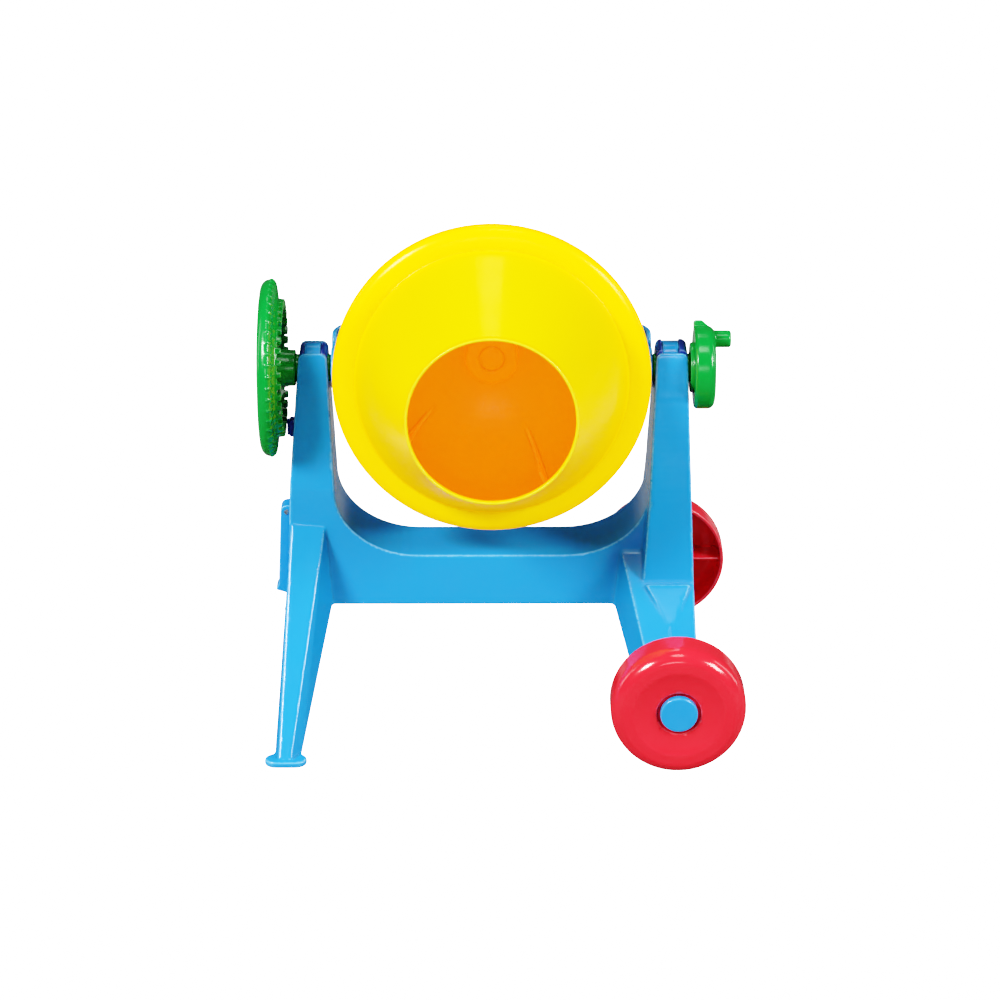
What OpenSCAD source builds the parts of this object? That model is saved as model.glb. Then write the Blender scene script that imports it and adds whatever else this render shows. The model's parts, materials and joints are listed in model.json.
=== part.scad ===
// Toy cement mixer: a tilting drum in a moulded cradle with two feet and two wheels.
// Millimetres, +Z up, +X to the crank side, -Y to the front (the drum's mouth faces -Y).
// Every piece is drawn about the drum's middle plane (X = 0) and then moved sideways by
// place(), so that the origin is on the ground under the middle of the whole toy.

/* [Drum] */
// Height of the tilt axis above the ground
axis_z = 264; // [258:1:270]
// Upward lean of the drum's axis at rest, in degrees
drum_lean = 3.4; // [0:0.2:6]
// Outside radius of the drum at its joint
drum_r = 118.7; // [117.5:0.1:119]
// Inside radius of the mouth
mouth_r = 60.4; // [50:0.5:64]
// Distance from the tilt axis forward to the mouth
mouth_t = 131; // [115:1:132]
// Radius where the cone meets the shoulder
crease_r = 102.7; // [100:0.1:104]
// Depth of the bowl behind its joint
bowl_depth = 58; // [54:0.5:59]
// Number of mixing blades in the bowl
blade_count = 5; // [2:1:6]
// Wall of the drum's two shells
drum_wall = 2.4; // [2:0.1:2.8]

/* [Drive] */
// Pitch radius of the pinion
pinion_r = 18.2; // [18.1:0.05:18.3]
// Radius of the crank's wheel
crank_r = 31; // [28:0.5:34]
// Distance of the crank's knob from the axis
knob_offset = 21.4; // [18:0.2:23]
// Angle of the knob behind straight up at rest, in degrees
knob_angle = 23; // [0:1:90]

/* [Tilt wheel] */
// Outside radius of the tilt handwheel
handwheel_r = 66.3; // [60:0.5:70]
// Outside radius of the toothed ring on its inner side
ring_r = 52; // [51:0.5:53]

/* [Cradle] */
// Height of the saddle's floor
saddle_z = 122.4; // [114:0.2:123]
// Height of the crossbar's lower edge
crossbar_z = 81; // [78:1:90]
// Half of the crossbar's depth
crossbar_y = 28; // [26:0.5:30]
// Height of the tops of the uprights
upright_z = 281; // [279:0.5:283]
// Wall of the cradle's moulding
wall = 2.6; // [2.2:0.1:3]
// Distance from the middle to the front edge of the feet
foot_y = 142; // [136:1:146]

/* [Wheels] */
// Radius of the road wheels
wheel_r = 50; // [46:0.5:52]
// Sideways place of the road wheels
wheel_x = 137.2; // [135:0.2:138]
// Distance from the middle to the inner side of each wheel
wheel_y = 123.7; // [123.2:0.1:126]
// Width of a wheel from inner side to crown
wheel_w = 31; // [29:0.5:33]
// Radius of the blue plug that holds each wheel
plug_r = 13.85; // [12:0.05:14.5]

/* [Hidden] */

$fn = 64;
big = 400;             // longer than the toy, for cuts that run right through
run_gap = 0.1;         // radial clearance of a turning shaft
seat_gap = 0.15;       // clearance round a fixed piece in its seat

// Tilt wheel, measured outwards from the middle plane
handwheel_face = 172.5;
ring_face = 155;
ring_root = 160.4;
ring_wall = 7;
hub_end = 146.8;
notch_count = 36;      // one every ten degrees of tilt
notch_depth = 3;
notch_w = 4.4;
rib_count = 48;
rib_w = 1.6;
rib_rise = 0.8;

// The toy reaches from the tilt wheel's face to the road wheels: the origin is half way
left_reach = handwheel_face;
right_reach = wheel_x + wheel_r;
place_x = (left_reach - right_reach) / 2;

// Shafts
shaft_r = 10.4;        // in the cradle's bearings
journal_r = 7;         // crank shaft where it runs in the yoke
square_w = 9;          // driving square on the crank shaft
socket_w = 13;         // driving square between tilt wheel and yoke
screw_r = 2.2;
screw_head_r = 4.2;

// Cradle outline, seen from the front: half-width of the opening and the outer edges
gap_top_x = 122.6;
gap_low_x = 118.2;
gap_low_z = 174;
corner_w = 63;
left_top_x = -143.9;
left_mid_x = -152.3;
left_foot_x = -158.9;
right_top_x = 146.2;
right_low_x = 152.2;
mid_z = 176;
upright_y = 15;        // half-depth of the uprights at the top
right_base_y = 54;     // half-depth of the right upright at the foot of its slope
right_base_z = 111;
right_base_x = 113.6;  // inner edge of the right upright at the foot of its slope
upright_round = 5;     // rounding of the uprights' top corners
corner_lean = 0.25;    // how far the leaning faces move out over that height
pocket_z = 249;        // floor of the bearing pockets
pocket_floor = 3;

// Bearing caps and the straps over them
sill_z = axis_z + 6;   // the caps rest on the uprights' side walls
strap_w = 12;
strap_t = 2.4;
strap_x = 133.6;

// Side grip
grip_y = 7;
grip_top = 154.6;
grip_shell = 1.8;
grip_pin_x = -156;
grip_pin_z = 149.4;
grip_pin_r = 1.4;

// Index catch
pawl_z = axis_z - 47.5;
pawl_w = 10;
pawl_h = 13;
pawl_back_x = 138;
pawl_slot_x = 160;
pawl_slot_depth = 30;

// Right legs, from the crossbar out to the wheels
leg_root_x = 98;
leg_end_x = 121.5;
leg_end_y = wheel_y - 1;
leg_root_top = 126;
leg_root_low = 80;
leg_end_top = 72;
leg_end_low = 36;
leg_lean = 6;          // outward lean of the leg's inner side, in degrees
plug_socket_len = 24;
plug_shank_r = 7;

// Yoke
arm_out = 120.2;       // outer face of the yoke's arms
arm_wall = 4;
arm_h = 44;
arm_straight = 22;     // arms run straight back this far
yoke_back = 66;        // outer face of the yoke's bridge behind the tilt axis
yoke_corner = 60.5;
boss_r = 15.6;
pin_r = 4;             // drum spindle
spindle_boss_r = 14;
bridge_boss_y = 68;
washer_t = 2;

// Drum, measured forwards from the tilt axis along the drum's own axis
flange_t = 23.5;       // back face of the bowl's flange
flange_w = 2.5;
joint_t = flange_t + flange_w;
flange_r = drum_r - 0.5;
bowl_r = 102;
bowl_t = 15;           // where the bowl's curve starts
bowl_back = bowl_t - bowl_depth;
hub_r = 12;
hub_back = 58;
cap_r = 20.4;
cap_h = 17;
floor_r = 25;
floor_t = bowl_back + 4.6;
head_t = floor_t + 0.4;   // spindle head, with a little end float
head_r = 8;
head_h = 5;

// Crown gear and pinion, which turns six times for one turn of the drum
crown_teeth = 60;
pinion_teeth = 10;
crown_in = 103.8;
crown_out = 115.4;
tooth_rise = 2.5;      // tooth height outside the pitch line
tooth_root_t = pinion_r + 3;
tooth_tip_t = pinion_r - tooth_rise;
pinion_x = 104.4;
pinion_w = 10.8;
pinion_root_r = pinion_r - 3.6;
pinion_tip_r = pinion_r + tooth_rise;

// Colours
blue = "#1E96D8";
navy = "#1B4FA0";
green = "#0C9B35";
yellow = "#F2E000";
orange = "#F08A10";
red = "#E62A3C";
steel = "#B8BCC2";

// ---- Helpers ----

// Points of an elliptical arc from angle a0 to a1
function arc(cx, cy, rx, ry, a0, a1, n = 12) =
    [for (i = [0:n]) let (a = a0 + (a1 - a0) * i / n) [cx + rx * cos(a), cy + ry * sin(a)]];

function flip_x(points) = [for (i = [len(points) - 1:-1:0]) [-points[i][0], points[i][1]]];

// Moves a piece drawn about the drum's middle plane to its place in the toy
module place() {
    translate([place_x, 0, 0]) children();
}

// Drum frame: Z runs forward along the drum's axis from the tilt axis, X stays X
module along_drum() {
    place() translate([0, 0, axis_z]) rotate([90 - drum_lean, 0, 0]) children();
}

// Tilt frame: Z runs along the tilt axis towards the crank, X points down, Y stays Y
module along_tilt() {
    place() translate([0, 0, axis_z]) rotate([0, 90, 0]) children();
}

// Extrudes an outline drawn in X and Z through the depth y0 to y1
module from_front(y0, y1) {
    translate([0, y1, 0]) rotate([90, 0, 0]) linear_extrude(y1 - y0) children();
}

// Extrudes an outline drawn in Y and Z through the width x0 to x1
module from_side(x0, x1) {
    translate([x0, 0, 0]) rotate([90, 0, 90]) linear_extrude(x1 - x0) children();
}

module both_ends() {
    children();
    mirror([0, 1, 0]) children();
}

// A revolved washer-like ring between heights z0 and z1
module ring(outer, inner, z0, z1) {
    translate([0, 0, z0]) difference() {
        cylinder(r = outer, h = z1 - z0);
        translate([0, 0, -1]) cylinder(r = inner, h = z1 - z0 + 2);
    }
}

// ---- Cradle ----

// Opening between the uprights, widened by g: straight sides and rounded lower corners
function opening_half(g) = concat(
    [[gap_top_x + g, big], [gap_top_x + g, upright_z]],
    arc(gap_low_x - corner_w, gap_low_z, corner_w + g, gap_low_z - saddle_z + g, 0, -90, 14));

module opening(g) {
    half = opening_half(g);
    polygon(concat(half, flip_x(half)));
}

// Outline cut away to round an upright's top corner at x; dir is 1 where the upright is at +X
module corner_cut(x, dir) {
    r = upright_round;
    polygon(concat([[x - 4 * dir, upright_z - r]],
        arc(x + dir * r, upright_z - r, dir * r, r, 180, 90, 6),
        [[x + dir * r, upright_z + 4], [x - 4 * dir, upright_z + 4]]));
}

// Height of an upright's top, or of the hollow inside it, which is open at the top
function hollow_top(g) = upright_z + (g > 0 ? 1 : 0);

// Outline of crossbar and left upright from the front, g inside the skin, reaching down to low_z
module left_front(g, low_z) {
    polygon([[0, hollow_top(g)],
             [left_top_x + g, hollow_top(g)],
             [left_mid_x + g, mid_z],
             [left_foot_x + 3 + g, low_z],
             [0, low_z]]);
}

module right_front(g, low_z) {
    polygon([[0, low_z],
             [right_low_x - g, low_z],
             [right_low_x - g, right_base_z],
             [right_top_x - g, hollow_top(g)],
             [0, hollow_top(g)]]);
}

// Side outline of the left upright and the crossbar
module left_side(g, low_z) {
    top_z = hollow_top(g);
    polygon([[-upright_y + g, top_z], [-crossbar_y + g, mid_z], [-crossbar_y + g, low_z],
             [crossbar_y - g, low_z], [crossbar_y - g, mid_z], [upright_y - g, top_z]]);
}

// Side outline of the right upright, which spreads to the front and the back
module right_side(g, low_z) {
    top_z = hollow_top(g);
    polygon([[-upright_y + g, top_z], [-right_base_y + g, right_base_z],
             [-right_base_y + g, low_z], [right_base_y - g, low_z],
             [right_base_y - g, right_base_z], [upright_y - g, top_z]]);
}

// Inner edge of the right upright's wide foot, flared towards the crossbar
module spread_front(g, low_z) {
    polygon([[gap_low_x + g, big], [gap_low_x + g, gap_low_z], [right_base_x + g, right_base_z],
             [right_base_x + g, low_z - 1], [big, low_z - 1], [big, big]]);
}

// Crossbar with the left upright, and the right upright on its wide foot
module cradle_body(g, low_z) {
    difference() {
        union() {
            intersection() {
                from_front(-crossbar_y, crossbar_y) left_front(g, low_z);
                from_side(-big, 0) left_side(g, low_z);
            }
            intersection() {
                from_front(-crossbar_y, crossbar_y) right_front(g, low_z);
                from_side(-1, big) left_side(g, low_z);
            }
            intersection() {
                from_front(-right_base_y, right_base_y) right_front(g, low_z);
                from_side(0, big) right_side(g, low_z);
                from_front(-big, big) spread_front(g, low_z);
            }
        }
        from_front(-big, big) opening(g);
    }
}

// One leg towards the wheel at the front, its inner side leaning outwards; drop lowers the
// underside, so that the hollow is open below
module right_leg(g, drop) {
    spread = atan((leg_end_x - leg_root_x) / (leg_end_y - crossbar_y));
    top_g = g * 1.2;
    overlap = g > 0 ? 0 : 1;
    intersection() {
        from_side(0, right_low_x - g) polygon([
            [0, leg_root_top - top_g], [-crossbar_y, leg_root_top - top_g],
            [-leg_end_y + g, leg_end_top - top_g], [-leg_end_y + g, leg_end_low - drop],
            [-crossbar_y, leg_root_low - drop], [0, leg_root_low - drop]]);
        translate([leg_root_x + g, -crossbar_y, leg_root_top]) rotate([0, leg_lean, 0])
            rotate([0, 0, spread]) translate([0, -big, -big]) cube([big, big + 2, 2 * big]);
        translate([0, -big - crossbar_y + overlap, -big]) cube([big, big, 2 * big]);
    }
}

// Triangular gusset from the foot of the right upright down the leg's sloping top, ending in
// a thin rib. Drawn on the slope: X across, Y up the slope from the gusset's point
module leg_gusset() {
    slope = atan((leg_root_top - leg_end_top) / (leg_end_y - crossbar_y));
    point_y = 72;          // down the slope from the crossbar's face
    gusset_len = 39;
    gusset_rise = 5;       // tilt of the gusset's face against the slope, in degrees
    rib_x = 133.4;
    rib_t = 2.2;
    translate([0, -crossbar_y, leg_root_top]) rotate([slope, 0, 0])
        translate([0, -point_y, 0]) union() {
            rotate([gusset_rise, 0, 0]) translate([0, 0, -4]) linear_extrude(4) polygon([
                [right_low_x - 2.5, gusset_len], [right_low_x - 37, gusset_len],
                [rib_x, 0], [rib_x + rib_t, 0]]);
            translate([rib_x, -16, -2]) cube([rib_t, 18, 2.9]);
        }
}

// Left leg: wide where it leaves the crossbar, narrow at the foot, its inner side flared
module left_leg(g) {
    drop = g > 0 ? 14 : 0;
    hull() {
        from_front(-crossbar_y - 0.1, -crossbar_y + 0.9) polygon([
            [left_mid_x + 0.7 + g, 149 - g * 2], [-126 - g, 146 - g * 2],
            [-121.5 - g, crossbar_z - drop], [left_foot_x + 3 + g, crossbar_z - drop]]);
        translate([0, 0, g > 0 ? 2.5 : 1]) linear_extrude(1) polygon([
            [left_foot_x + g, -foot_y + 1 + g * 1.4], [-149.6 - g, -foot_y + 1 + g * 1.4],
            [-142.2 - g, -foot_y + 15 + drop], [left_foot_x - 3 + g, -foot_y + 15 + drop]]);
    }
}

// Foot plate with round ends
module foot() {
    reach_l = 161;
    reach_r = 145.6;
    for (x = [-reach_l, -reach_r])
        translate([x, -foot_y + 8, 0]) cylinder(r = 8, h = 5);
    translate([-reach_l, -foot_y, 0]) cube([reach_l - reach_r, 16, 5]);
}

// Socket that the wheel's plug is pressed into
module plug_socket() {
    translate([wheel_x, -leg_end_y - 0.6, wheel_r]) rotate([-90, 0, 0])
        cylinder(r = 13, h = plug_socket_len);
}

module plug_bore() {
    translate([wheel_x, -leg_end_y - 1, wheel_r]) rotate([-90, 0, 0])
        cylinder(r = plug_shank_r, h = plug_socket_len + 5);
}

// Slot, open at the top, that a shaft is dropped into
module bearing_slot(x0, x1) {
    slot_r = shaft_r + run_gap;
    translate([x0, 0, axis_z]) rotate([0, 90, 0]) cylinder(r = slot_r, h = x1 - x0);
    translate([x0, -slot_r, axis_z]) cube([x1 - x0, 2 * slot_r, big]);
}

module pocket_floors() {
    intersection() {
        translate([-big, -big, pocket_z - pocket_floor]) cube([2 * big, 2 * big, pocket_floor]);
        cradle_body(wall / 2, crossbar_z);
    }
}

// Stiffening webs under the saddle
module crossbar_webs() {
    intersection() {
        for (x = [-72, -24, 24, 72])
            translate([x - 1, -big, crossbar_z + 4]) cube([2, 2 * big, big]);
        cradle_body(wall / 2, crossbar_z);
    }
}

// Room for the bearing caps: the side walls stop at the sill between front and back wall
module cap_seat(x0, x1) {
    half_y = upright_y - wall;
    translate([x0, -half_y, sill_z]) cube([x1 - x0, 2 * half_y, big]);
}

// Lug on the left upright that the side grip is pinned to
module grip_lug() {
    half_y = grip_y - grip_shell - 0.2;
    lug_r = 2 * grip_pin_r;
    from_front(-half_y, half_y) union() {
        translate([grip_pin_x, grip_pin_z]) circle(r = lug_r);
        translate([grip_pin_x, grip_pin_z - lug_r])
            square([left_mid_x - grip_pin_x + 1, 2 * lug_r]);
    }
}

module cradle_frame() {
    color(blue) place() difference() {
        union() {
            difference() {
                union() {
                    cradle_body(0, crossbar_z);
                    both_ends() right_leg(0, 0);
                    both_ends() left_leg(0);
                }
                cradle_body(wall, crossbar_z - 20);
                both_ends() right_leg(wall, 40);
                both_ends() left_leg(wall);
            }
            pocket_floors();
            crossbar_webs();
            both_ends() leg_gusset();
            both_ends() foot();
            both_ends() plug_socket();
            grip_lug();
        }
        from_front(-big, big) {
            corner_cut(left_top_x - corner_lean, 1);
            corner_cut(-gap_top_x + corner_lean, -1);
            corner_cut(gap_top_x - corner_lean, 1);
            corner_cut(right_top_x + corner_lean, -1);
        }
        cap_seat(-big / 2, -100);
        cap_seat(100, big / 2);
        bearing_slot(-big / 2, -100);
        bearing_slot(100, big / 2);
        both_ends() plug_bore();
        translate([-pawl_slot_x, -pawl_w / 2 - seat_gap, pawl_z - pawl_h / 2 - seat_gap])
            cube([pawl_slot_depth, pawl_w + 2 * seat_gap, pawl_h + 2 * seat_gap]);
        translate([grip_pin_x, 0, grip_pin_z]) rotate([90, 0, 0])
            cylinder(r = grip_pin_r, h = 30, center = true);
    }
}

// Solid under a strap's arch, between the front and back walls of an upright, g smaller
module strap_arch(x0, x1, top, g) {
    half_y = upright_y - wall - seat_gap - g;
    from_side(x0, x1) polygon(concat([[half_y, pocket_z - 1]],
        arc(0, top - 12, half_y, 12 - g, 0, 180, 16), [[-half_y, pocket_z - 1]]));
}

// Strap clipped over a bearing cap, its legs reaching down into the pocket
module bearing_strap(side, top) {
    x0 = side * strap_x - strap_w / 2;
    x1 = side * strap_x + strap_w / 2;
    color(blue) place() difference() {
        strap_arch(x0, x1, top, 0);
        strap_arch(x0 - 1, x1 + 1, top, strap_t);
        translate([x0 - 1, -big, pocket_z - 5]) cube([strap_w + 2, 2 * big, 5]);
        translate([x0 - 1, 0, axis_z]) rotate([0, 90, 0])
            cylinder(r = shaft_r + run_gap, h = strap_w + 2);
    }
}

// Tops of the caps and of the straps over them: the right pair stands a little taller
cap_top_left = upright_z - 0.4;
cap_top_right = upright_z + 1.8;
strap_top_left = upright_z + 2.4;
strap_top_right = upright_z + 3;

module left_bearing_strap() { bearing_strap(-1, strap_top_left); }
module right_bearing_strap() { bearing_strap(1, strap_top_right); }

// Upper half of a bearing: spans the upright from side to side above the sill
module bearing_cap(side, x0, x1, cap_top, strap_top) {
    r = upright_round;
    half_y = upright_y - wall - seat_gap;
    strap_x0 = side * strap_x - strap_w / 2 - seat_gap;
    strap_x1 = side * strap_x + strap_w / 2 + seat_gap;
    color(navy) place() difference() {
        from_front(-half_y, half_y) polygon(concat([[x0, sill_z + seat_gap]],
            arc(x0 + r, cap_top - r, r, r, 180, 90, 6), arc(x1 - r, cap_top - r, r, r, 90, 0, 6),
            [[x1, sill_z + seat_gap]]));
        translate([x0 - 1, 0, axis_z]) rotate([0, 90, 0])
            cylinder(r = shaft_r + run_gap, h = x1 - x0 + 2);
        difference() {
            translate([strap_x0, -big, sill_z - 1]) cube([strap_x1 - strap_x0, 2 * big, 30]);
            strap_arch(strap_x0 - 1, strap_x1 + 1, strap_top, strap_t + seat_gap);
        }
    }
}

module left_bearing_cap() {
    bearing_cap(-1, left_top_x, -gap_top_x, cap_top_left, strap_top_left);
}

module right_bearing_cap() {
    bearing_cap(1, gap_top_x, right_top_x, cap_top_right, strap_top_right);
}

// Outer face of the left upright at height z
function left_face(z) = left_mid_x + (left_foot_x + 3 - left_mid_x) * (mid_z - z)
    / (mid_z - crossbar_z);

// Grip on the side away from the wheels: a channel with a round top and a lip at its low end
module side_grip() {
    low = 84;
    corner = 5;
    outer_x = -160.8;
    low_x = -163.6;
    lip = 2;
    color(blue) place() difference() {
        from_front(-grip_y, grip_y) polygon(concat(
            [[left_face(low) - seat_gap, low - 3], [left_face(grip_top) - seat_gap, grip_top]],
            arc(outer_x + corner, grip_top - corner, corner, corner, 90, 180, 6),
            [[low_x, low + 5], [low_x - lip, low + 1], [low_x - lip, low]]));
        from_front(-grip_y + grip_shell, grip_y - grip_shell) polygon([
            [left_face(low) + 1, low - 6], [left_face(grip_top) + 1, grip_top - grip_shell],
            [outer_x + grip_shell, grip_top - grip_shell], [low_x + grip_shell, low + 4],
            [low_x + grip_shell, low - 6]]);
        translate([grip_pin_x, 0, grip_pin_z]) rotate([90, 0, 0])
            cylinder(r = grip_pin_r, h = 30, center = true);
    }
}

// Pin with two small round heads that holds the grip on its lug
module side_grip_pin() {
    color(steel) place() translate([grip_pin_x, -grip_y, grip_pin_z]) rotate([-90, 0, 0]) {
        cylinder(r = grip_pin_r, h = 2 * grip_y);
        translate([0, 0, -0.7]) cylinder(r = grip_pin_r + 0.6, h = 0.7);
        translate([0, 0, 2 * grip_y]) cylinder(r = grip_pin_r + 0.6, h = 0.7);
    }
}

// Index catch that slides out of the left upright into the tilt wheel's notches
module index_pawl() {
    tip = ring_face - 0.6;
    block = ring_face - 2.6;
    nose_w = 3;
    color(navy) place() union() {
        translate([-block, -pawl_w / 2, pawl_z - pawl_h / 2]) cube([block - pawl_back_x, pawl_w, pawl_h]);
        translate([-tip, -nose_w / 2, pawl_z - pawl_h / 2]) cube([tip - block + 1, nose_w, pawl_h]);
        translate([-pawl_back_x - 2, -pawl_w / 2 - 2, pawl_z - pawl_h / 2 - 2])
            cube([2, pawl_w + 4, pawl_h + 4]);
    }
}

// ---- Road wheels ----

// Profile of a wheel from its inner side (height 0) to its crown, g inside the skin
function wheel_outline(g) = concat(
    [[wheel_r - g, -1 + (g > 0 ? -1 : 1)]],
    arc(wheel_r - 11, wheel_w - 13, 11 - g, 13 - g, 0, 78, 10),
    [[34, wheel_w - g], [29, wheel_w - 1.4 - g], [20, wheel_w - 3 - g], [16, wheel_w - 3 - g]]);

module wheel() {
    hub = 12;
    spoke_count = 6;
    difference() {
        union() {
            rotate_extrude($fn = 96) difference() {
                polygon(concat([[16, 0]], wheel_outline(0)));
                polygon(concat([[15, -2]], wheel_outline(3)));
            }
            ring(16.5 + 2, 16.2, wheel_w - 9, wheel_w - 4);
            ring(16.6, plug_shank_r + run_gap, wheel_w - 9, wheel_w - 6);
            ring(hub, plug_shank_r + run_gap, 0, wheel_w - 6);
            for (i = [0:spoke_count - 1])
                rotate(i * 360 / spoke_count)
                    intersection() {
                        translate([hub - 1, -1, 3]) cube([wheel_r, 2, wheel_w]);
                        rotate_extrude($fn = 96) polygon(concat([[8, 0]], wheel_outline(1),
                                                                [[8, wheel_w - 8]]));
                        cylinder(r = wheel_r - 1.5, h = wheel_w - 5);
                    }
        }
        translate([0, 0, -1]) cylinder(r = plug_shank_r + run_gap, h = wheel_w);
        translate([0, 0, wheel_w - 6]) cylinder(r = 16.2, h = 10);
    }
}

module at_axle(end) {
    place() translate([wheel_x, end * wheel_y, wheel_r]) rotate([end * -90, 0, 0]) children();
}

module front_wheel() { color(red) at_axle(-1) wheel(); }
module rear_wheel() { color(red) at_axle(1) wheel(); }

// Plug with a round head that holds a wheel on its socket
module axle_plug() {
    shank_end = plug_socket_len - 2;
    difference() {
        union() {
            translate([0, 0, -shank_end]) cylinder(r = plug_shank_r, h = shank_end + wheel_w - 5);
            rotate_extrude($fn = 96) polygon([[0, wheel_w - 5.8], [plug_r, wheel_w - 5.8],
                [plug_r, wheel_w - 1], [plug_r - 0.8, wheel_w - 0.2], [0, wheel_w - 0.2]]);
        }
        translate([0, 0, -shank_end - 1]) cylinder(r = plug_shank_r - 2.5, h = shank_end + 12);
    }
}

module front_axle_plug() { color(blue) at_axle(-1) axle_plug(); }
module rear_axle_plug() { color(blue) at_axle(1) axle_plug(); }

// ---- Yoke ----

function yoke_half(g) = concat([[arm_out - g, -boss_r]],
    arc(arm_out - yoke_corner, arm_straight, yoke_corner - g, yoke_back - arm_straight - g,
        0, 90, 14));

// Band round the back of the bowl with a bearing boss on each arm and one for the spindle
module yoke() {
    outer = yoke_half(0);
    inner = yoke_half(arm_wall);
    color(blue) place() translate([0, 0, axis_z]) rotate([-drum_lean, 0, 0]) difference() {
        union() {
            intersection() {
                translate([0, 0, -arm_h / 2]) linear_extrude(arm_h) difference() {
                    polygon(concat(outer, flip_x(outer)));
                    translate([0, -1]) polygon(concat(inner, flip_x(inner)));
                    polygon(concat(inner, flip_x(inner)));
                }
                from_side(-big, big) union() {
                    circle(r = boss_r);
                    polygon(concat([[0, -boss_r]], arc(20, -14, 8, 8, -90, -90, 1),
                        [[yoke_back + 5, -arm_h / 2], [yoke_back + 5, arm_h / 2],
                         [22, arm_h / 2]], arc(22, arm_h / 2 - 8, 8, 8, 90, 180, 6),
                        [[10, boss_r - 3], [0, boss_r]]));
                }
            }
            rotate([0, 90, 0]) translate([0, 0, -arm_out]) cylinder(r = boss_r, h = 9);
            translate([0, yoke_back - arm_wall - 2, 0]) rotate([-90, 0, 0])
                cylinder(r = spindle_boss_r, h = bridge_boss_y - yoke_back + arm_wall + 2);
        }
        translate([arm_out - arm_wall - 1, 0, 0]) rotate([0, 90, 0])
            cylinder(r = journal_r + run_gap, h = arm_wall + 2);
        translate([-arm_out - 1, -socket_w / 2, -socket_w / 2]) cube([8, socket_w, socket_w]);
        translate([-arm_out, 0, 0]) rotate([0, 90, 0]) cylinder(r = screw_r, h = 20);
        translate([0, yoke_back - 20, 0]) rotate([-90, 0, 0]) cylinder(r = pin_r, h = 40);
    }
}

module yoke_washer() {
    color(steel) along_drum() ring(hub_r, pin_r + run_gap, -hub_back - washer_t, -hub_back);
}

module drum_spindle() {
    end_t = -bridge_boss_y - 7;
    color(steel) along_drum() union() {
        translate([0, 0, end_t]) cylinder(r = pin_r, h = head_t - end_t + 1);
        translate([0, 0, head_t]) difference() {
            cylinder(r = head_r, h = head_h);
            translate([0, 0, head_h - 2.5]) cylinder(r = 3.4, h = 5, $fn = 6);
        }
    }
}

module spindle_nut() {
    nut_r = 7.5;
    nut_h = 6;
    color(steel) along_drum() translate([0, 0, -bridge_boss_y - nut_h]) difference() {
        cylinder(r = nut_r, h = nut_h, $fn = 6);
        translate([0, 0, -1]) cylinder(r = pin_r, h = nut_h + 2);
    }
}

// ---- Tilt wheel ----

// Rounded rim and the cone behind it, as [radius, distance from the middle plane], g outside
function rim_profile(g) = concat(
    arc(handwheel_r - 7.3, handwheel_face - 6.7, 7.3, 6.7, 82, 0, 8),
    arc(handwheel_r - 5, handwheel_face - 7, 5 + g, 4 + g, 0, -60, 4),
    [[ring_r + 2.6, ring_root + 1 - g], [ring_r + 1, ring_root - g]]);

handwheel_outline = concat(
    [[0, handwheel_face - 2], [26, handwheel_face - 2], [30, handwheel_face]],
    rim_profile(0),
    [[ring_r, ring_root - 1], [ring_r - 0.4, ring_face], [ring_r - ring_wall, ring_face],
     [ring_r - ring_wall - 1, handwheel_face - 6], [16, handwheel_face - 6],
     [13.6, hub_end + 6], [13.6, hub_end], [shaft_r, hub_end],
     [shaft_r, arm_out + 0.4], [0, arm_out + 0.4]]);

module handwheel() {
    spigot_end = arm_out - 6;
    color(green) place() translate([0, 0, axis_z]) rotate([-drum_lean, 0, 0])
        rotate([0, -90, 0]) difference() {
            union() {
                rotate_extrude($fn = 128) polygon(handwheel_outline);
                translate([-socket_w / 2, -socket_w / 2, spigot_end])
                    cube([socket_w, socket_w, 8]);
                intersection() {
                    rotate_extrude($fn = 128)
                        polygon(concat(rim_profile(rib_rise), [[ring_r - 2, handwheel_face - 4]]));
                    for (i = [0:rib_count - 1])
                        rotate((i + 0.5) * 360 / rib_count)
                            translate([ring_r - 1, -rib_w / 2, ring_root - 3])
                                cube([20, rib_w, handwheel_face - 7 - ring_root + 3]);
                }
                for (i = [0:5])
                    rotate(i * 60)
                        translate([13, -1.5, ring_root - 1]) cube([ring_r - 22, 3, 8]);
            }
            for (i = [0:notch_count - 1])
                rotate(-drum_lean + i * 360 / notch_count)
                    translate([ring_r - ring_wall - 2, -notch_w / 2, ring_face - 1])
                        cube([ring_wall + 4, notch_w, notch_depth + 1]);
            translate([0, 0, spigot_end - 1]) cylinder(r = screw_r, h = 26);
        }
}

module handwheel_screw() {
    head_x = arm_out - 9;
    color(steel) along_tilt() {
        translate([0, 0, -head_x - 22]) cylinder(r = screw_r, h = 23);
        translate([0, 0, -head_x]) difference() {
            cylinder(r = screw_head_r, h = 2.6);
            translate([-3, -0.5, 1.4]) cube([6, 1, 2]);
            translate([-0.5, -3, 1.4]) cube([1, 6, 2]);
        }
    }
}

// ---- Drum ----

function bowl_curve(rx, rt) = arc(0, bowl_t, rx, rt, 0, -90, 20);

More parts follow.
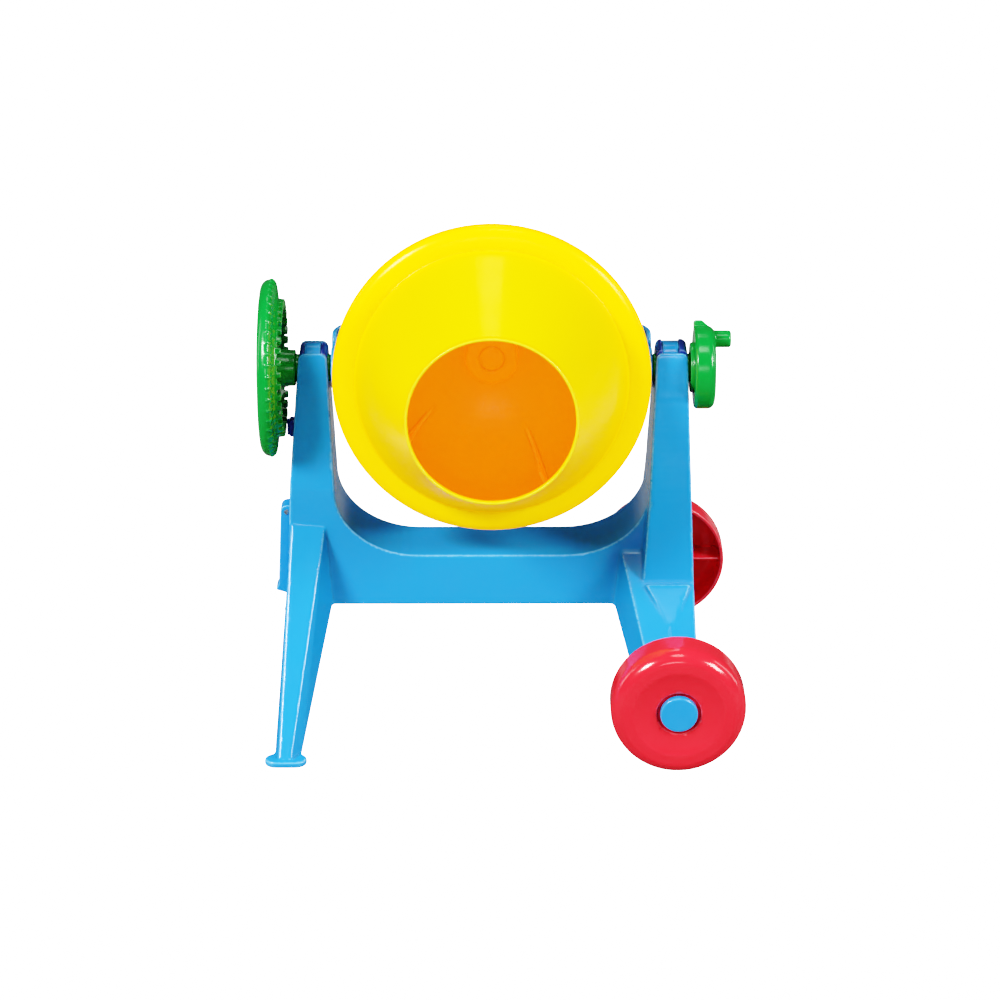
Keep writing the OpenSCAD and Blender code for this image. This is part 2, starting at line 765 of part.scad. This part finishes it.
// Orange bowl: flange, round back, hub tube and blades
module drum_bowl() {
    inner_r = bowl_r - drum_wall;
    inner_d = bowl_depth - drum_wall;
    blade_h = 15;         // at the joint; the blades taper off towards the bowl's floor
    blade_t = 2.4;
    taper = 6.5;
    color(orange) along_drum() difference() {
        union() {
            rotate_extrude($fn = 128) difference() {
                polygon(concat([[0, joint_t + 3], [flange_r - 2, joint_t + 3],
                    [flange_r - 2, joint_t], [flange_r, joint_t], [flange_r, flange_t],
                    [bowl_r, flange_t]], bowl_curve(bowl_r, bowl_depth)));
                polygon(concat([[0, joint_t + 4], [flange_r - 4.4, joint_t + 4],
                    [flange_r - 4.4, joint_t], [inner_r, flange_t + 1]],
                    bowl_curve(inner_r, inner_d)));
            }
            translate([0, 0, bowl_back]) cylinder(r = floor_r, h = floor_t - bowl_back);
            translate([0, 0, -hub_back]) cylinder(r = hub_r, h = hub_back + floor_t);
            intersection() {
                for (i = [0:blade_count - 1])
                    rotate(i * 360 / blade_count - 65)
                        translate([0, -blade_t / 2, -60]) cube([130, blade_t, 78]);
                rotate_extrude($fn = 128) difference() {
                    polygon(concat([[0, joint_t], [inner_r + 1, joint_t]],
                        bowl_curve(inner_r + 1, inner_d + 1)));
                    polygon(concat([[0, joint_t + 1], [inner_r - blade_h, joint_t + 1]],
                        bowl_curve(inner_r - blade_h, inner_d + taper)));
                }
            }
        }
        translate([0, 0, -hub_back - 1]) cylinder(r = pin_r + run_gap, h = hub_back);
    }
}

// Yellow cone: band at the joint, round shoulder, crease, cone and lip
module drum_cone() {
    lip = 2.2;
    shoulder_t = 37;
    outer = concat(
        [[drum_r, joint_t], [drum_r, joint_t + 3]],
        arc(drum_r - 12, shoulder_t - 7.5, 12, 7.8, 8, 80, 10),
        [[crease_r + 0.5, shoulder_t + 0.9], [crease_r - 0.4, shoulder_t - 0.1],
         [crease_r - 1, shoulder_t + 0.4], [mouth_r + lip + 0.3, mouth_t - 3.6],
         [mouth_r + lip + 0.3, mouth_t - 0.8], [mouth_r + lip - 0.5, mouth_t]]);
    inner = concat(
        [[mouth_r + 0.6, mouth_t], [mouth_r, mouth_t - 0.8], [mouth_r, mouth_t - 4],
         [crease_r - drum_wall - 1.4, shoulder_t - 1.6]],
        [[drum_r - 12, shoulder_t - 3.2], [drum_r - 5, shoulder_t - 5],
         [drum_r - drum_wall, joint_t + 3.4], [drum_r - drum_wall, joint_t]]);
    color(yellow) along_drum() rotate_extrude($fn = 128) polygon(concat(outer, inner));
}

// Ring of radial teeth on the back of the bowl's flange
module crown_gear() {
    root_w = 5;
    tip_w = 2.2;
    seat_t = flange_t;
    color(orange) along_drum() union() {
        ring(crown_out, crown_in, tooth_root_t, seat_t);
        ring(crown_in + 1, bowl_r + seat_gap, tooth_root_t, seat_t);
        for (i = [0:crown_teeth - 1])
            rotate((i + 0.5) * 360 / crown_teeth)
                translate([crown_in, 0, 0]) rotate([90, 0, 90])
                    linear_extrude(crown_out - crown_in - 0.3) polygon([
                        [-root_w / 2, tooth_root_t + 0.5], [-root_w / 2, tooth_root_t],
                        [-tip_w / 2, tooth_tip_t], [tip_w / 2, tooth_tip_t],
                        [root_w / 2, tooth_root_t], [root_w / 2, tooth_root_t + 0.5]]);
    }
}

// Cap inside the bowl over the spindle's head
module hub_cap() {
    color(orange) along_drum() translate([0, 0, floor_t]) difference() {
        rotate_extrude($fn = 96) polygon(concat(
            [[0, 0], [cap_r, 0], [cap_r, cap_h - 3]],
            arc(cap_r - 3, cap_h - 3, 3, 3, 0, 90, 6),
            [[11, cap_h], [10, cap_h - 1.2], [9, cap_h - 1.2], [8, cap_h], [0, cap_h]]));
        translate([0, 0, -1]) cylinder(r = cap_r - 3, h = cap_h - 2);
    }
}

// ---- Crank ----

// Profile of the crank's wheel and shaft, as [radius, distance from the middle plane]
crank_inner = 151.4;
crank_outer = 167;
crank_hub_r = 18.8;
crank_hub_x = 148.4;
shaft_end_x = pinion_x + 3.4;

module crank_wheel() {
    knob_r = 6.4;
    knob_end = 179.4;
    color(green) along_tilt() rotate(180 - knob_angle) difference() {
        union() {
            rotate_extrude($fn = 96) polygon(concat(
                [[0, crank_outer - 0.8], [12, crank_outer]],
                arc(crank_r - 6, crank_outer - 5, 6, 5, 80, 0, 8),
                [[crank_r, crank_inner + 1.5], [crank_r - 1.5, crank_inner],
                 [crank_hub_r, crank_inner], [crank_hub_r, crank_hub_x], [shaft_r, crank_hub_x],
                 [shaft_r, arm_out + 0.4], [journal_r, arm_out + 0.4],
                 [journal_r, pinion_x + pinion_w + 0.2], [0, pinion_x + pinion_w + 0.2]]));
            translate([-square_w / 2, -square_w / 2, shaft_end_x])
                cube([square_w, square_w, 12]);
            translate([knob_offset, 0, crank_outer - 6]) rotate_extrude($fn = 64) polygon(concat(
                [[0, 0], [knob_r, 0]],
                arc(knob_r - 1.6, knob_end - crank_outer + 6 - 1.6, 1.6, 1.6, 0, 90, 5),
                [[0, knob_end - crank_outer + 6]]));
            translate([0, 5, 0]) rotate([90, 0, 0]) linear_extrude(10) polygon([
                [crank_hub_r, crank_inner], [35.3, crank_inner], [35.3, crank_inner + 6],
                [knob_offset + knob_r - 0.5, crank_outer - 0.5], [crank_hub_r, crank_outer - 2]]);
        }
        translate([0, 0, shaft_end_x - 1]) cylinder(r = screw_r, h = 20);
    }
}

module crank_pinion() {
    tooth_root = 5.6;
    tooth_tip = 1.9;
    color(green) along_tilt() rotate(180) difference() {
        translate([0, 0, pinion_x]) union() {
            cylinder(r = pinion_root_r, h = pinion_w);
            for (i = [0:pinion_teeth - 1])
                rotate(90 - drum_lean + i * 360 / pinion_teeth)
                    linear_extrude(pinion_w) polygon([
                        [pinion_root_r - 2, -tooth_root / 2], [pinion_tip_r, -tooth_tip / 2],
                        [pinion_tip_r, tooth_tip / 2], [pinion_root_r - 2, tooth_root / 2]]);
        }
        rotate(-knob_angle) translate([-square_w / 2, -square_w / 2, shaft_end_x])
            cube([square_w, square_w, 40]);
        translate([0, 0, pinion_x - 1]) cylinder(r = screw_head_r + 0.3, h = 4.4);
    }
}

module pinion_screw() {
    head = 2.6;
    color(steel) along_tilt() {
        translate([0, 0, shaft_end_x - 0.5]) cylinder(r = screw_r, h = 18);
        translate([0, 0, shaft_end_x - head]) difference() {
            cylinder(r = screw_head_r, h = head);
            translate([-3, -0.5, -1]) cube([6, 1, 2.2]);
            translate([-0.5, -3, -1]) cube([1, 6, 2.2]);
        }
    }
}

cradle_frame();
left_bearing_cap();
right_bearing_cap();
left_bearing_strap();
right_bearing_strap();
side_grip();
side_grip_pin();
index_pawl();
front_wheel();
rear_wheel();
front_axle_plug();
rear_axle_plug();
yoke();
yoke_washer();
drum_spindle();
spindle_nut();
handwheel();
handwheel_screw();
drum_bowl();
drum_cone();
crown_gear();
hub_cap();
crank_wheel();
crank_pinion();
pinion_screw();
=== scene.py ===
import json
import math

import bpy
import numpy as np
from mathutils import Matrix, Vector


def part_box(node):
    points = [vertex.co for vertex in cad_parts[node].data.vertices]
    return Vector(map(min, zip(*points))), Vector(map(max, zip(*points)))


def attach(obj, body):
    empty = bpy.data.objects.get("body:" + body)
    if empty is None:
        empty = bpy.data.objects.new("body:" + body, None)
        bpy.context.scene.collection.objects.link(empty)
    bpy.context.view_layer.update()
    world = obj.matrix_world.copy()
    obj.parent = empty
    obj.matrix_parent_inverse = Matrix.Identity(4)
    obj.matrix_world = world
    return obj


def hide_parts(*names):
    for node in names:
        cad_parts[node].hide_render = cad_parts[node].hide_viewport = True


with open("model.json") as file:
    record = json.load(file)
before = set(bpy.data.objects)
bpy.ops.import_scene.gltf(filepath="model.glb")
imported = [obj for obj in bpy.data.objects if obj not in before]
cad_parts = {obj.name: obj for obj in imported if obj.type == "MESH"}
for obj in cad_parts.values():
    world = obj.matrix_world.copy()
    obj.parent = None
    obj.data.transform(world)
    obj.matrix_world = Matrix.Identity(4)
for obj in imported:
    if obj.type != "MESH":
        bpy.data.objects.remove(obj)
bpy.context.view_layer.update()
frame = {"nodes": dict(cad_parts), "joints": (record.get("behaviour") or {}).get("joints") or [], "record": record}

import openvdb as vdb
from mathutils import Vector

MM = 0.001

NODES = frame["nodes"]
JOINTS = {joint["name"]: joint for joint in frame["joints"]}
NODE_BODY = {node: body for body, nodes in frame["record"]["behaviour"]["bodies"].items()
             for node in nodes}
NODE_SLOT = {part["node"]: part["material_slot"] for part in frame["record"]["subparts"]}

TILT_POINT = Vector(JOINTS["yoke_tilt"]["pos_m"])
DRUM_AXIS = Vector(JOINTS["drum_spin"]["axis"])
# Where the drum's bowl begins along its axis, which points out of the mouth
BOWL_LIP = DRUM_AXIS.dot(Vector(JOINTS["drum_spin"]["pos_m"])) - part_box("drum_bowl")[0][1]

# Light that the film shows as full white
FILM_WHITE = 4.0

# ---------------------------------------------------------------- node graphs


class Graph:
    """The node tree of a material or of the world, with a short call for each kind of node."""

    def __init__(self, owner):
        owner.use_nodes = True
        self.nodes = owner.node_tree.nodes
        self.links = owner.node_tree.links
        self.coords = self.add("TexCoord").outputs
        self.path = self.add("LightPath").outputs

    def feed(self, socket, value):
        """Links another node's output to the socket, or sets the socket's own value."""
        if hasattr(value, "links"):
            self.links.new(value, socket)
        elif socket.type == "RGBA":
            socket.default_value = (*value, 1.0)
        else:
            socket.default_value = value

    def add(self, kind, inputs=None):
        node = self.nodes.new("ShaderNode" + kind)
        for name, value in (inputs or {}).items():
            self.feed(node.inputs[name], value)
        return node

    def attribute(self, name):
        node = self.add("Attribute")
        node.attribute_name = name
        return node.outputs["Fac"]

    def noise(self, scale, detail=3.0):
        inputs = {"Vector": self.coords["Object"], "Scale": scale, "Detail": detail,
                  "Roughness": 0.55}
        return self.add("TexNoise", inputs).outputs["Fac"]

    def remap(self, value, from_low, from_high, low, high):
        """Takes from_low..from_high to low..high, and holds both ends."""
        inputs = {"Value": value, "From Min": from_low, "From Max": from_high,
                  "To Min": low, "To Max": high}
        return self.add("MapRange", inputs).outputs["Result"]

    def spread(self, noise, low, high):
        """The noise's middle range, spread to low..high."""
        return self.remap(noise, 0.3, 0.7, low, high)

    def multiply(self, first, second):
        node = self.add("Math")
        node.operation = "MULTIPLY"
        self.feed(node.inputs[0], first)
        self.feed(node.inputs[1], second)
        return node.outputs[0]

    def dot(self, first, second):
        node = self.add("VectorMath")
        node.operation = "DOT_PRODUCT"
        self.feed(node.inputs[0], first)
        self.feed(node.inputs[1], second)
        return node.outputs["Value"]

    def split(self, vector):
        """The vector's X, Y and Z."""
        return self.add("SeparateXYZ", {"Vector": vector}).outputs

    def mix_colour(self, factor, first, second):
        node = self.add("Mix")
        node.data_type = "RGBA"
        used = {socket.name: socket for socket in node.inputs if socket.enabled}
        self.feed(used["Factor"], factor)
        self.feed(used["A"], first)
        self.feed(used["B"], second)
        return next(socket for socket in node.outputs if socket.enabled)

    def bump(self, height, strength, distance, under=None):
        """A bump of distance millimetres, on top of the normal under it."""
        inputs = {"Height": height, "Strength": strength, "Distance": distance * MM}
        if under:
            inputs["Normal"] = under
        return self.add("Bump", inputs).outputs["Normal"]

    def mix_surface(self, share, first, second):
        """Makes the surface of the first shader and a share of the second."""
        node = self.add("MixShader")
        for socket, value in zip(node.inputs, (share, first.outputs[0], second.outputs[0])):
            self.feed(socket, value)
        self.feed(self.nodes["Material Output"].inputs["Surface"], node.outputs[0])


# ---------------------------------------------------------------- materials


def new_material(name):
    material = bpy.data.materials.new(name)
    graph = Graph(material)
    return material, graph, graph.nodes["Principled BSDF"]


def moulded_colour_and_painted_light(graph, colour, deep, pale):
    """Flow marks that drift from colour to deep, a painted highlight along rounded edges at the share pale, broken
    into patches, and painted shade in hollows and creases."""
    flow = graph.spread(graph.noise(9.0), 0.0, 0.5)
    base = graph.mix_colour(flow, colour, deep)

    # Painted highlight: rounded edges are lightened towards a paler tone of the colour, in patches
    patches = graph.spread(graph.noise(260.0, detail=5.0), 0.7, 1.0)
    edge_sheen = graph.multiply(graph.attribute("edge"), patches)
    sheen_tone = [0.06 + 0.9 * part ** 0.6 for part in colour]
    base = graph.mix_colour(graph.remap(edge_sheen, 0.45, 0.95, 0.0, pale), base, sheen_tone)

    # Painted shade: hollows and creases are darkened towards a deeper tone
    shade = graph.remap(graph.attribute("hollow"), 0.4, 1.0, 0.0, 0.6)
    return graph.mix_colour(shade, base, [0.55 * part for part in deep])


def painted_light_at_slant(graph, base, inside):
    """Painted light through the wall: the colour of the light inside is mixed into the base colour where the wall
    is seen at a slant.
    """
    facing = graph.add("LayerWeight", {"Blend": 0.5}).outputs["Facing"]
    return graph.mix_colour(graph.remap(facing, 0.2, 0.9, 0.0, 0.8), base, inside)


def moulded_skin(graph, shader, roughness):
    """Smudged gloss, faint sink waves and a fine moulded grain."""
    smudge = graph.noise(38.0, detail=5.0)
    gloss = graph.spread(smudge, roughness - 0.04, roughness + 0.06)
    graph.feed(shader.inputs["Roughness"], gloss)
    waves = graph.bump(graph.noise(22.0, detail=0.0), 0.2, 0.5)
    grain = graph.bump(graph.noise(1400.0, detail=2.0), 0.05, 0.15, waves)
    graph.feed(shader.inputs["Normal"], grain)


def plastic(name, colour, deep, roughness=0.2, shine=0.45, pale=0.45, coat=0.0,
            inside=None, through=0.0, glow=0.0, lined=None):
    """Moulded plastic. Where its wall is thin, through is the share of light that passes it and inside the colour
    of that light; inside is also painted into the base colour where the wall is seen at a slant. glow is a painted
    glow, an emission of the base colour for the light that soaks along the wall. lined is the stretch along the
    drum's axis over which another piece closes up behind the wall; there more of the inside colour is painted into
    the base and the painted glow rises to three times glow, for the light that this piece throws back. pale is the
    share of painted highlight on rounded edges."""
    material, graph, shader = new_material(name)
    base = moulded_colour_and_painted_light(graph, colour, deep, pale)
    if inside:
        base = painted_light_at_slant(graph, base, inside)
    soaked = glow
    if lined:
        # Painted light thrown back: where the bowl closes up behind the wall, more of the inside colour is mixed
        # in and the painted glow grows
        along = graph.dot(graph.coords["Object"], DRUM_AXIS)
        base = graph.mix_colour(graph.remap(along, *lined, 0.0, 0.5), base, inside)
        soaked = graph.remap(along, *lined, glow, 3 * glow)
    graph.feed(shader.inputs["Base Color"], base)
    # Painted glow: the wall emits its own base colour, though it is no lamp
    if glow:
        graph.feed(shader.inputs["Emission Color"], base)
        graph.feed(shader.inputs["Emission Strength"], soaked)

    moulded_skin(graph, shader, roughness)
    for socket, value in (("IOR", 1.46), ("Specular IOR Level", shine), ("Coat Weight", coat),
                          ("Coat Roughness", 0.08), ("Coat IOR", 1.4)):
        graph.feed(shader.inputs[socket], value)
    if through:
        graph.mix_surface(through, shader, graph.add("BsdfTranslucent", {"Color": inside}))
    return material


def steel(name):
    """Zinc plated steel with fine streaks."""
    material, graph, shader = new_material(name)
    streaks = graph.noise(700.0, detail=4.0)
    tone = graph.spread(streaks, 0.0, 1.0)
    base = graph.mix_colour(tone, (0.55, 0.56, 0.58), (0.72, 0.72, 0.70))
    graph.feed(shader.inputs["Base Color"], base)
    graph.feed(shader.inputs["Roughness"], graph.spread(streaks, 0.22, 0.42))
    graph.feed(shader.inputs["Metallic"], 1.0)
    graph.feed(shader.inputs["Normal"], graph.bump(streaks, 0.1, 0.1))
    return material


# pale is the share of painted highlight on rounded edges, glow the strength of the painted glow, and inside the
# colour of light through the wall, which is also painted into the base where the wall is seen at a slant
PLASTICS = {
    "blue_plastic": dict(colour=(0.018, 0.24, 0.66), deep=(0.020, 0.20, 0.60), pale=0.8),
    "navy_plastic": dict(colour=(0.014, 0.045, 0.30), deep=(0.012, 0.035, 0.22)),
    "green_plastic": dict(colour=(0.006, 0.22, 0.030), deep=(0.005, 0.19, 0.026), pale=0.2),
    "yellow_plastic": dict(colour=(0.75, 0.66, 0.0), deep=(0.77, 0.63, 0.0), shine=0.13,
                           inside=(1.0, 0.50, 0.0), through=0.2, glow=0.2,
                           lined=(BOWL_LIP + 6 * MM, BOWL_LIP + 1 * MM)),
    "orange_plastic": dict(colour=(0.94, 0.34, 0.004), deep=(0.92, 0.30, 0.004),
                           roughness=0.28, shine=0.25, inside=(1.0, 0.36, 0.004),
                           through=0.3, glow=0.5),
    "red_plastic": dict(colour=(0.74, 0.022, 0.034), deep=(0.68, 0.018, 0.028),
                        roughness=0.15, coat=0.1),
}
MATERIALS = {slot: plastic(slot, **settings) for slot, settings in PLASTICS.items()}
MATERIALS["zinc_steel"] = steel("zinc_steel")

# ---------------------------------------------------------------- moulded pieces

# A bell curve is cut off at this many times its width
BELL_REACH = 2.5
# Keeps a division by the field's slope safe
LEAST_SLOPE = 1e-6


def solid_of(node):
    """Corner points in millimetres and triangles of a CAD node."""
    mesh = node.data
    mesh.calc_loop_triangles()
    points = np.empty(len(mesh.vertices) * 3, dtype=np.float32)
    mesh.vertices.foreach_get("co", points)
    triangles = np.empty(len(mesh.loop_triangles) * 3, dtype=np.int32)
    mesh.loop_triangles.foreach_get("vertices", triangles)
    return points.reshape(-1, 3) / np.float32(MM), triangles.reshape(-1, 3)


def distance_field(points, triangles, voxel, reach):
    """Signed distance to the solid on a grid of voxel millimetres, reach voxels either way,
    and the grid's lowest corner."""
    grid = vdb.FloatGrid.createLevelSetFromPolygons(
        points, triangles=triangles, transform=vdb.createLinearTransform(voxel),
        halfWidth=reach)
    low, high = grid.evalActiveVoxelBoundingBox()
    field = np.empty([h - l + 1 for l, h in zip(low, high)], dtype=np.float32)
    grid.copyToArray(field, ijk=low)
    return field, np.array(low)


def blurred(field, sigma):
    """Gaussian blur along the three axes, which rounds every corner of the solid."""
    reach = math.ceil(BELL_REACH * sigma)
    steps = range(-reach, reach + 1)
    weights = [math.exp(-0.5 * (step / sigma) ** 2) for step in steps]
    total = sum(weights)
    for axis in range(3):
        result = np.zeros_like(field)
        for step, weight in zip(steps, weights):
            result += np.float32(weight / total) * np.roll(field, step, axis)
        field = result
    return field


def polygons_of(field, low, voxel, background, adaptivity):
    """The field's zero surface as points in millimetres and faces."""
    grid = vdb.FloatGrid(background)
    grid.transform = vdb.createLinearTransform(voxel)
    grid.copyFromArray(field, ijk=low.tolist())
    points, triangles, quads = grid.convertToPolygons(isovalue=0.0, adaptivity=adaptivity)
    return points, quads.tolist() + triangles.tolist()


def sample(field, places):
    """The field at fractional grid places, by trilinear interpolation."""
    base = np.clip(np.floor(places).astype(np.int64), 0, np.array(field.shape) - 2)
    part = (places - base).astype(np.float32)
    result = np.zeros(len(places), dtype=np.float32)
    for corner in np.ndindex(2, 2, 2):
        weight = np.prod(np.where(corner, part, 1 - part), axis=1)
        i, j, k = (base + corner).T
        result += weight * field[i, j, k]
    return result


def slopes(field, places):
    """Value, gradient and Laplacian of the field at grid places, per voxel."""
    middle = sample(field, places)
    gradient = np.empty((len(places), 3), dtype=np.float32)
    laplacian = -6 * middle
    for axis in range(3):
        step = np.zeros(3)
        step[axis] = 1.0
        ahead = sample(field, places + step)
        behind = sample(field, places - step)
        gradient[:, axis] = (ahead - behind) / 2
        laplacian += ahead + behind
    return middle, gradient, laplacian


def settled(field, places):
    """The places moved onto the field's zero, with the normal and curvature there."""
    height, gradient, _ = slopes(field, places)
    steepness = np.maximum(np.sum(gradient ** 2, axis=1), LEAST_SLOPE)
    shift = np.clip(height / steepness, -0.7, 0.7)
    places = places - gradient * shift[:, None]

    middle, gradient, laplacian = slopes(field, places)
    length = np.maximum(np.linalg.norm(gradient, axis=1), LEAST_SLOPE)
    normals = gradient / length[:, None]
    along = sample(field, places + normals) + sample(field, places - normals) - 2 * middle
    return places, normals, (laplacian - along) / length


def moulded(name, voxel, radius, adaptivity=0.04):
    """Stands in for a CAD node with the same shape, every edge rounded as a mould leaves it.
    radius is the rounding and voxel the grid it is cut from, in millimetres, and adaptivity
    lets flat stretches have larger faces."""
    sigma = 0.5 * radius / voxel
    reach = math.ceil(BELL_REACH * sigma) + 3
    field, low = distance_field(*solid_of(NODES[name]), voxel, reach)
    field = blurred(field, sigma)
    points, faces = polygons_of(field, low, voxel, reach * voxel, adaptivity)
    places, normals, bend = settled(field, points / voxel - low)
    curve = bend / voxel * radius

    mesh = bpy.data.meshes.new(name + "_moulding")
    mesh.from_pydata(((places + low) * voxel * MM).tolist(), [], faces)
    mesh.shade_smooth()
    mesh.normals_split_custom_set_from_vertices(normals.tolist())
    # edge and hollow hold the curvature that the materials turn into painted highlights on edges and painted shade
    # in hollows
    for label, value in (("edge", curve), ("hollow", -curve)):
        layer = mesh.attributes.new(label, "FLOAT", "POINT")
        layer.data.foreach_set("value", np.clip(value, 0, 1).astype(np.float32))
    mesh.materials.append(MATERIALS[NODE_SLOT[name]])

    piece = bpy.data.objects.new(name + "_moulding", mesh)
    bpy.context.scene.collection.objects.link(piece)
    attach(piece, NODE_BODY[name])
    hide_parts(name)


# Grid and rounding of each moulded node in millimetres, and the adaptivity of the largest
MOULDED = {
    "cradle_frame": (1.0, 1.8, 0.05),
    "left_bearing_cap": (0.4, 1.2),
    "right_bearing_cap": (0.4, 1.2),
    "left_bearing_strap": (0.4, 1.0),
    "right_bearing_strap": (0.4, 1.0),
    "side_grip": (0.4, 1.0),
    "index_pawl": (0.4, 0.9),
    "front_wheel": (0.7, 1.2),
    "rear_wheel": (0.7, 1.2),
    "front_axle_plug": (0.4, 0.8),
    "rear_axle_plug": (0.4, 0.8),
    "yoke": (0.8, 1.6),
    "handwheel": (0.5, 0.8),
    "drum_bowl": (0.8, 1.2),
    "drum_cone": (0.8, 1.2),
    "crown_gear": (0.6, 0.8),
    "hub_cap": (0.4, 0.9),
    "crank_wheel": (0.4, 1.2),
    "crank_pinion": (0.4, 0.8),
}


def fastener(name):
    """Keeps a carried fastener and gives it its material and small broken edges."""
    node = NODES[name]
    node.data.materials.clear()
    node.data.materials.append(MATERIALS[NODE_SLOT[name]])
    for polygon in node.data.polygons:
        polygon.use_smooth = True
    weld = node.modifiers.new("weld", "WELD")
    weld.merge_threshold = 0.01 * MM
    edge = node.modifiers.new("edge", "BEVEL")
    edge.width = 0.25 * MM
    edge.segments = 2
    edge.limit_method = "ANGLE"
    edge.angle_limit = math.radians(35)
    edge.harden_normals = True


# ---------------------------------------------------------------- stage, light and camera


def make_floor():
    """White floor that stays white to the camera and still takes a soft shadow. It is kept dark
    in reflections, so that only the lamps show on the plastic, and brighter behind the toy."""
    half = 6.0
    mesh = bpy.data.meshes.new("floor")
    mesh.from_pydata([(-half, -half, 0), (half, -half, 0), (half, half, 0), (-half, half, 0)],
                     [], [(0, 1, 2, 3)])
    material, graph, shader = new_material("floor")
    tone = graph.spread(graph.noise(3.0), 0.0, 1.0)
    base = graph.mix_colour(tone, (0.93, 0.93, 0.93), (0.91, 0.91, 0.92))
    base = graph.mix_colour(graph.path["Is Diffuse Ray"], base, (0.4, 0.4, 0.4))
    behind = graph.remap(graph.split(graph.coords["Object"])["Y"], 0.1, 0.6, 0.04, 0.3)
    base = graph.mix_colour(graph.path["Is Glossy Ray"], base, behind)
    graph.feed(shader.inputs["Base Color"], base)
    graph.feed(shader.inputs["Roughness"], 0.7)
    lit = graph.add("Emission", {"Strength": 6.0})
    share = graph.remap(graph.path["Is Camera Ray"], 0.0, 1.0, 0.0, 0.7)
    graph.mix_surface(share, shader, lit)
    mesh.materials.append(material)

    floor = bpy.data.objects.new("floor", mesh)
    bpy.context.scene.collection.objects.link(floor)


def make_world():
    """Soft room light, brighter overhead than at the level. In reflections a pale backdrop
    stands behind the toy and the rest of the room is dark. The camera sees plain white."""
    world = bpy.data.worlds.new("studio")
    bpy.context.scene.world = world
    graph = Graph(world)
    direction = graph.split(graph.coords["Generated"])
    overhead = graph.remap(direction["Z"], -0.1, 0.9, 0.07, 0.2)
    backdrop = graph.remap(direction["Y"], 0.5, 0.95, 0.04, 0.1)
    level = graph.mix_colour(graph.path["Is Glossy Ray"], overhead, backdrop)
    level = graph.mix_colour(graph.path["Is Camera Ray"], level, (FILM_WHITE,) * 3)
    graph.feed(graph.nodes["Background"].inputs["Color"], level)


def make_lamp(name, place, width, height, power):
    """A soft box that points at the middle of the toy."""
    data = bpy.data.lights.new(name, "AREA")
    data.shape = "RECTANGLE"
    data.size = width
    data.size_y = height
    data.energy = power
    lamp = bpy.data.objects.new(name, data)
    lamp.location = place
    direction = Vector((TILT_POINT.x, 0.0, 0.2)) - lamp.location
    lamp.rotation_euler = direction.to_track_quat("-Z", "Y").to_euler()
    bpy.context.scene.collection.objects.link(lamp)


# Name, place, width and height in metres, and watts of each lamp
LAMPS = (
    ("key", (-1.25, -1.1, 1.45), 0.5, 0.5, 82.0),
    ("side", (1.55, -0.85, 1.15), 0.6, 0.6, 56.0),
    ("front", (0.0, -2.3, 1.0), 0.8, 0.4, 7.0),
    ("top", (0.12, -0.6, 2.05), 0.5, 0.5, 7.0),
    ("top_back", (-0.02, 0.95, 2.0), 0.5, 0.5, 3.5),
    ("left_strip", (-1.7, 0.35, 0.7), 0.3, 1.2, 6.0),
    ("right_strip", (1.7, 0.35, 0.7), 0.3, 1.2, 7.0),
)


def make_camera():
    """A long lens in front of the tilt axis, 23 degrees above the level."""
    data = bpy.data.cameras.new("camera")
    data.sensor_width = 36.0
    data.lens = 122.8
    data.clip_end = 50.0
    camera = bpy.data.objects.new("camera", data)
    pitch = math.radians(23.14)
    yaw = math.radians(-0.15)
    camera.location = (TILT_POINT.x, -2.3907, 1.1777)
    camera.rotation_euler = (math.radians(90) - pitch, 0.0, yaw)
    bpy.context.scene.collection.objects.link(camera)
    bpy.context.scene.camera = camera


# Light that reaches the film, and the tone that it leaves there
FILM_CURVE = ((0.02, 0.005), (0.05, 0.027), (0.1, 0.08), (0.3, 0.3), (0.6, 0.5), (1.0, 0.7),
              (1.5, 0.83), (2.2, 0.95), (3.2, 1.0))


def make_film():
    """A short toe and a long shoulder, so that bright plastic keeps its colour."""
    view = bpy.context.scene.view_settings
    view.view_transform = "Standard"
    view.look = "None"
    view.use_curve_mapping = True
    view.curve_mapping.white_level = (FILM_WHITE,) * 3
    curve = view.curve_mapping.curves[3]
    for light, tone in FILM_CURVE:
        point = curve.points.new(light / FILM_WHITE, tone)
        point.handle_type = "AUTO_CLAMPED"
    view.curve_mapping.update()


# ---------------------------------------------------------------- the scene

for node_name in NODES:
    if node_name in MOULDED:
        moulded(node_name, *MOULDED[node_name])
    else:
        fastener(node_name)

make_floor()
make_world()
for lamp_settings in LAMPS:
    make_lamp(*lamp_settings)
make_camera()
make_film()
